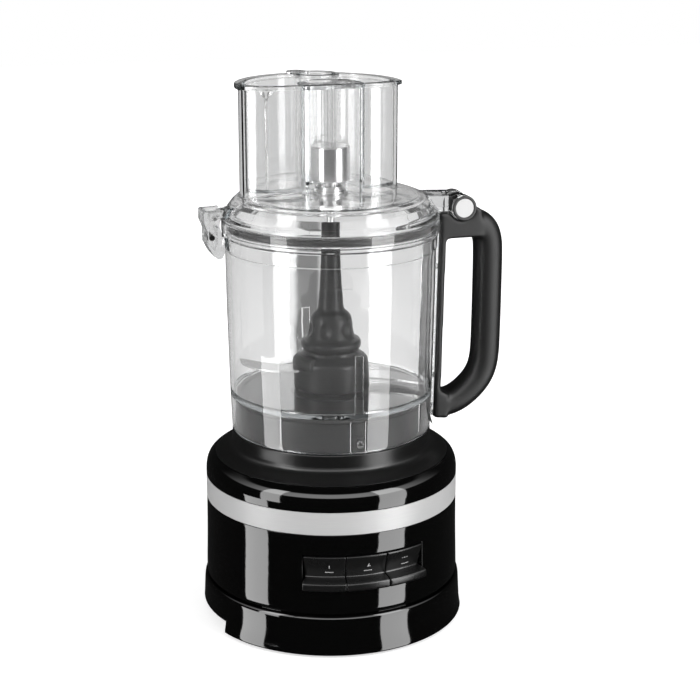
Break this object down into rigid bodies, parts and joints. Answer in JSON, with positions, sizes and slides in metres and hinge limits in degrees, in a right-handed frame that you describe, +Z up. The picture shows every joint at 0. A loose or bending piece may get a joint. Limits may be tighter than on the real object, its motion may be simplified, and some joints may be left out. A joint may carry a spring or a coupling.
{
  "type": "food processor",
  "caption": "Motor base with paddle buttons, clear lift-off work bowl with a closed handle, hinged lid with latch, wide feed tube, nested pushers, S-blade and belt drive.",
  "frame": {"origin": "on the spindle axis, on the plane that the base stands on", "axes": "+Z up along the spindle, -Y to the front with the buttons, +X to the handle and the lid hinge"},
  "size_m": [0.2538, 0.2255, 0.4437],
  "materials": {
    "gloss_black": "high gloss",
    "matte_black": "fine matte",
    "deck_black": "dull satin",
    "paddle_black": "satin",
    "band_silver": "satin silver",
    "clear": "clear",
    "rubber_black": "dull",
    "seal_black": "satin",
    "chrome": "polished",
    "steel": "brushed",
    "blade_steel": "polished edge",
    "screw_steel": "zinc",
    "cap_silver": "satin",
    "board_green": "lacquered",
    "switch_white": "satin",
    "motor_steel": "satin"
  },
  "bodies": {
    "base": {"bottom_tray": "gloss_black", "foot_ring": "rubber_black", "cover_screws": "screw_steel", "base_housing": "gloss_black", "trim_band": "band_silver", "base_shoulder": "gloss_black", "base_deck": "deck_black", "deck_screws": "screw_steel", "button_frame": "matte_black", "frame_screws": "screw_steel", "button_pins": "steel", "switches": "switch_white", "control_board": "board_green", "board_screws": "screw_steel", "cord_gland": "rubber_black", "motor_plate": "steel", "plate_screws": "screw_steel", "motor_can": "motor_steel", "drive_belt": "rubber_black", "lower_bearing": "steel", "upper_bearing": "steel"},
    "rotor": {"motor_shaft": "motor_steel", "motor_pulley": "steel", "cooling_fan": "matte_black"},
    "spindle": {"drive_shaft": "steel", "drive_pulley": "matte_black"},
    "paddle_1": {"button_1": "paddle_black"},
    "paddle_2": {"button_2": "paddle_black"},
    "paddle_pulse": {"button_pulse": "paddle_black"},
    "work_bowl": {"bowl": "clear", "handle": "matte_black", "handle_screws": "screw_steel"},
    "chopping_blade": {"blade_hub": "matte_black", "upper_blade": "blade_steel", "lower_blade": "blade_steel", "stem_pin": "steel"},
    "lid": {"lid_cover": "clear", "lid_seal": "seal_black", "hub_post": "clear", "hub_cap": "chrome", "hub_bush": "steel", "feed_tube": "clear", "hinge_pin": "steel", "hinge_caps": "cap_silver", "latch_pin": "steel"},
    "lid_latch": {"latch": "clear", "latch_spring": "rubber_black"},
    "big_pusher": {"large_pusher": "clear"},
    "food_pusher": {"small_pusher": "clear"}
  },
  "joints": [
    {"name": "bowl_lift", "type": "slide", "parent": "base", "child": "work_bowl", "axis": [0, 0, 1], "range_m": [0, 0.12]},
    {"name": "spindle_spin", "type": "hinge", "parent": "base", "child": "spindle", "pos_m": [0, 0, 0.1], "axis": [0, 0, 1], "continuous": true},
    {"name": "motor_spin", "type": "hinge", "parent": "base", "child": "rotor", "pos_m": [0, 0.058, 0.06], "axis": [0, 0, 1], "continuous": true},
    {"name": "blade_spin", "type": "hinge", "parent": "work_bowl", "child": "chopping_blade", "pos_m": [0, 0, 0.23], "axis": [0, 0, 1], "continuous": true},
    {"name": "lid_hinge", "type": "hinge", "parent": "work_bowl", "child": "lid", "pos_m": [0.1078, 0, 0.3385], "axis": [0, 1, 0], "range_deg": [0, 95]},
    {"name": "latch_swing", "type": "hinge", "parent": "lid", "child": "lid_latch", "pos_m": [-0.0965, 0, 0.3401], "axis": [0, 1, 0], "range_deg": [0, 14], "stiffness_Nm_per_rad": 0.06, "springref_deg": -11.46},
    {"name": "large_pusher_lift", "type": "slide", "parent": "lid", "child": "big_pusher", "axis": [0, 0, 1], "range_m": [0, 0.085]},
    {"name": "small_pusher_lift", "type": "slide", "parent": "big_pusher", "child": "food_pusher", "axis": [0, 0, 1], "range_m": [0, 0.085]},
    {"name": "button_1_press", "type": "hinge", "parent": "base", "child": "paddle_1", "pos_m": [-0.0295, -0.08714, 0.0795], "axis": [0.9472, -0.3206, 0], "range_deg": [0, 2.5], "stiffness_Nm_per_rad": 0.3, "springref_deg": -2.86},
    {"name": "button_2_press", "type": "hinge", "parent": "base", "child": "paddle_2", "pos_m": [0, -0.092, 0.0795], "axis": [1, 0, 0], "range_deg": [0, 2.5], "stiffness_Nm_per_rad": 0.3, "springref_deg": -2.86},
    {"name": "button_pulse_press", "type": "hinge", "parent": "base", "child": "paddle_pulse", "pos_m": [0.0295, -0.08714, 0.0795], "axis": [0.9472, 0.3206, 0], "range_deg": [0, 2.5], "stiffness_Nm_per_rad": 0.3, "springref_deg": -2.86}
  ],
  "couplings": [
    {"joint": "motor_spin", "follows": "spindle_spin", "ratio": 4.6667},
    {"joint": "blade_spin", "follows": "spindle_spin", "ratio": 1}
  ]
}
